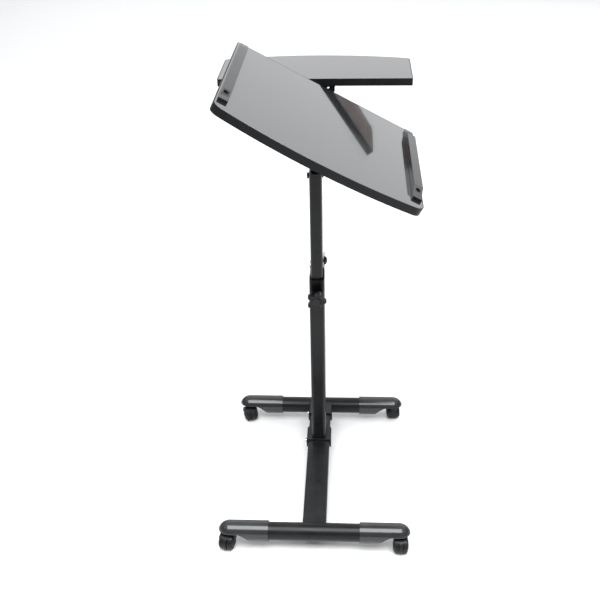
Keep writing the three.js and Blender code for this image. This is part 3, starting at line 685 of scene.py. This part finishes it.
# %% The star, modelled once
LOBES = 5
STAR_RADIUS = 17 * MM
LOBE_HEIGHT = 4.4 * MM
STAR_FRONT = 1.5 * MM
STAR_BACK = 12 * MM
RIM_WIDTH = 3.2 * MM
FACE_DEPTH = 0.9 * MM
FACE_TAPER = 0.98
BUTTON_RADIUS = 9 * MM
BUTTON_DEPTH = 5 * MM
star = cylinder(STAR_RADIUS, STAR_FRONT, STAR_BACK, "Y", 120)
for vert in star.data.vertices:
    angle = math.atan2(vert.co.z, vert.co.x)
    reach = STAR_RADIUS + LOBE_HEIGHT * math.cos(LOBES * angle)
    vert.co.x = reach * math.cos(angle)
    vert.co.z = reach * math.sin(angle)
pick(star, "faces", lambda face: face.normal.y < -FACES_THAT_WAY)
bpy.ops.mesh.inset(thickness=RIM_WIDTH)
extrude((0, FACE_DEPTH, 0), (FACE_TAPER, 1, FACE_TAPER))
close()
round_edges(star, width=1.3 * MM, segments=4, angle=50)
button = cylinder(BUTTON_RADIUS, 0, BUTTON_DEPTH, "Y", 48)
round_edges(button, width=1.6 * MM, segments=4, angle=50)
star = merge(star, button)
print("star faces:", len(star.data.polygons))

# %% Two knobs
NECK_RADIUS = 8 * MM
NECK_START = 10 * MM
CLAMP_SCREW_RADIUS = 4 * MM
CLAMP_SCREW_START = 11 * MM
# Each neck ends at what its knob presses on.
NECK_END = {"height_knob": 21.6 * MM, "tilt_knob": 17.7 * MM}
for node, neck_end in NECK_END.items():
    low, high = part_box(node)
    knob = star.copy()
    knob.data = star.data.copy()
    bpy.context.scene.collection.objects.link(knob)
    neck = cylinder(NECK_RADIUS, NECK_START, neck_end, "Y", 48)
    round_edges(neck, width=0.6 * MM, segments=3, angle=50)
    clamp_screw = cylinder(CLAMP_SCREW_RADIUS, CLAMP_SCREW_START, high.y - low.y, "Y", 32)
    knob = merge(knob, neck, clamp_screw)
    pivot = joints[node + "_turn"]["pos_m"]
    knob.data.transform(Matrix.Translation((pivot[0], low.y, pivot[2])))
    hand_over(knob, node + "_star", node)
print("knob faces:", len(knob.data.polygons))
bpy.data.objects.remove(star)

# %% [markdown]
# ## Screws
#
# Twelve pan-head screws hold the brackets and the edge stops. One is modelled along the Z axis,
# with a rounded head and a cross recess cut by two thin blocks. A picture of a cross would look
# flat from the side, so the recess is cut for real. The screw is copied to each CAD screw, whose
# own points give the axis and where the head ends.

# %% One screw, modelled once
HEAD_RADIUS = 4 * MM
HEAD_BOTTOM = -2.1 * MM
HEAD_CROWN = 0.35 * MM
CROWN_TAPER = 0.6
CROSS_HALF_LENGTH = 2.2 * MM
CROSS_HALF_WIDTH = 0.45 * MM
CROSS_BOTTOM = -1.2 * MM
CROSS_TOP = 1 * MM
SHANK_RADIUS = 1.9 * MM
SHANK_BOTTOM = -5 * MM
SHANK_TOP = -1.6 * MM
screw = cylinder(HEAD_RADIUS, HEAD_BOTTOM, -HEAD_CROWN, "Z", 48)
pick(screw, "faces", lambda face: face.normal.z > FACES_THAT_WAY)
extrude((0, 0, HEAD_CROWN), (CROWN_TAPER, CROWN_TAPER, 1))
close()
round_edges(screw, width=0.5 * MM, segments=4, angle=15)
arm = CROSS_HALF_LENGTH, CROSS_HALF_WIDTH
for across, along in (arm, arm[::-1]):
    carve(screw, box((-across, -along, CROSS_BOTTOM), (across, along, CROSS_TOP)))
shank = cylinder(SHANK_RADIUS, SHANK_BOTTOM, SHANK_TOP, "Z", 24)
screw = merge(screw, shank)
print("screw faces:", len(screw.data.polygons))


# %% Twelve screws in place
def axis_end(node, direction):
    """The point on the CAD part's axis at its end in this direction."""
    points = [vert.co.copy() for vert in frame["nodes"][node].data.vertices]
    centre = sum(points, Vector()) / len(points)
    top = max(point.dot(direction) for point in points)
    return centre + (top - centre.dot(direction)) * direction


def aim(point, direction):
    """Turn Z to the direction, with the origin at the point."""
    turn = Vector((0, 0, 1)).rotation_difference(direction).to_matrix().to_4x4()
    return Matrix.Translation(point) @ turn


for node in frame["nodes"]:
    if "_screw_" not in node:
        continue
    if "stop" in node:
        direction = BOARD_NORMAL
    else:
        direction = -BOARD_NORMAL if node.startswith("near") else -STRAIGHT_UP
    place_copy(screw, aim(axis_end(node, direction), direction), node + "_pan_head", node)
bpy.data.objects.remove(screw)

# %% [markdown]
# ## The domed guide bolt
#
# A low mushroom head on the mast's front side. Half a sphere is flattened for the dome, its rim
# is extruded down as the head's edge, drawn in to the shank, and extruded again as the shank. A
# scaled sphere gives a smoother crown than a bevelled cylinder would.

# %% Guide bolt
DOME_RADIUS = 9 * MM
DOME_HEIGHT = 5 * MM
DOME_EDGE = 0.8 * MM
BOLT_RADIUS = 4 * MM
low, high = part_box("guide_bolt")
bpy.ops.object.select_all(action="DESELECT")
bpy.ops.mesh.primitive_uv_sphere_add(segments=48, ring_count=24, radius=DOME_RADIUS)
bolt = bpy.context.object
pick(bolt, "verts", lambda vert: vert.co.z < -HAIR)
bpy.ops.mesh.delete(type="VERT")
bpy.ops.object.mode_set(mode="OBJECT")
bolt.scale.z = DOME_HEIGHT / DOME_RADIUS
settle(bolt)
pick(bolt, "verts", lambda vert: vert.co.z < HAIR)
extrude((0, 0, -DOME_EDGE))
extrude((0, 0, 0), (BOLT_RADIUS / DOME_RADIUS, BOLT_RADIUS / DOME_RADIUS, 1))
extrude((0, 0, low.x - high.x + DOME_HEIGHT + DOME_EDGE))
bpy.ops.mesh.edge_face_add()
close()
round_edges(bolt, width=0.25 * MM)
dome_base = Vector((high.x - DOME_HEIGHT, (low.y + high.y) / 2, (low.z + high.z) / 2))
bolt.data.transform(aim(dome_base, Vector((1, 0, 0))))
hand_over(bolt, "guide_bolt_dome", "guide_bolt")

# %% [markdown]
# ## Floor, light and camera
#
# The boards are close to black mirrors, so their look is the look of what they reflect. A large
# softbox behind the table gives them their even pale sheen. One above it, on the camera's side,
# draws the long light line on each cap and tube, and a wide weak one at the ceiling keeps the
# plain pale floor bright. A mid-grey surround fills what is left. Small hard lights would leave
# spots in the boards instead of a sheen.
#
# The view transform is the plain one, so that a white floor stays white and black stays black.

# %% Floor
bpy.ops.mesh.primitive_plane_add(size=40, location=(0, 0, 0))
floor = bpy.context.object
floor.name = "studio_floor"
floor_paint = bpy.data.materials.new("floor_paint")
floor_paint.use_nodes = True
floor_shader = floor_paint.node_tree.nodes["Principled BSDF"]
floor_shader.inputs["Base Color"].default_value = (0.9, 0.9, 0.9, 1)
floor_shader.inputs["Roughness"].default_value = 0.6
floor.data.materials.append(floor_paint)


# %% Light
DAYLIGHT = (0.965, 0.985, 1.0)


def softbox(name, power, size, place, target):
    bpy.ops.object.light_add(type="AREA", location=place)
    light = bpy.context.object
    light.name = name
    light.data.shape = "RECTANGLE"
    light.data.energy = power
    light.data.color = DAYLIGHT
    light.data.size, light.data.size_y = size
    direction = Vector(target) - Vector(place)
    light.rotation_euler = direction.to_track_quat("-Z", "Y").to_euler()


softbox("ceiling", power=330, size=(12.0, 12.0), place=(0.0, 2.5, 5.0), target=(0.0, 2.5, 0.0))
softbox("back_softbox", power=58, size=(7.0, 3.6), place=(0.8, 4.6, 2.3), target=(0.0, 0.0, 0.8))
softbox("top_softbox", power=165, size=(2.6, 2.2), place=(0.1, -1.2, 3.0), target=(0.0, -0.1, 0.3))
world = bpy.data.worlds.new("studio")
bpy.context.scene.world = world
world.use_nodes = True
background = world.node_tree.nodes["Background"]
background.inputs["Color"].default_value = (1, 1, 1, 1)
background.inputs["Strength"].default_value = 0.33
bpy.context.scene.view_settings.view_transform = "Standard"

# %% Camera
EYE = Vector((0.0778, -1.7138, 1.4269))
PITCH, YAW, ROLL = (math.radians(angle) for angle in (30.18, 3.73, -1.43))
bpy.ops.object.camera_add()
camera = bpy.context.object
turn = Matrix.Rotation(YAW, 4, "Z") @ Matrix.Rotation(math.pi / 2 - PITCH, 4, "X")
camera.matrix_world = Matrix.Translation(EYE) @ turn @ Matrix.Rotation(ROLL, 4, "Z")
camera.data.lens = 55.72
camera.data.sensor_width = 36
bpy.context.scene.camera = camera
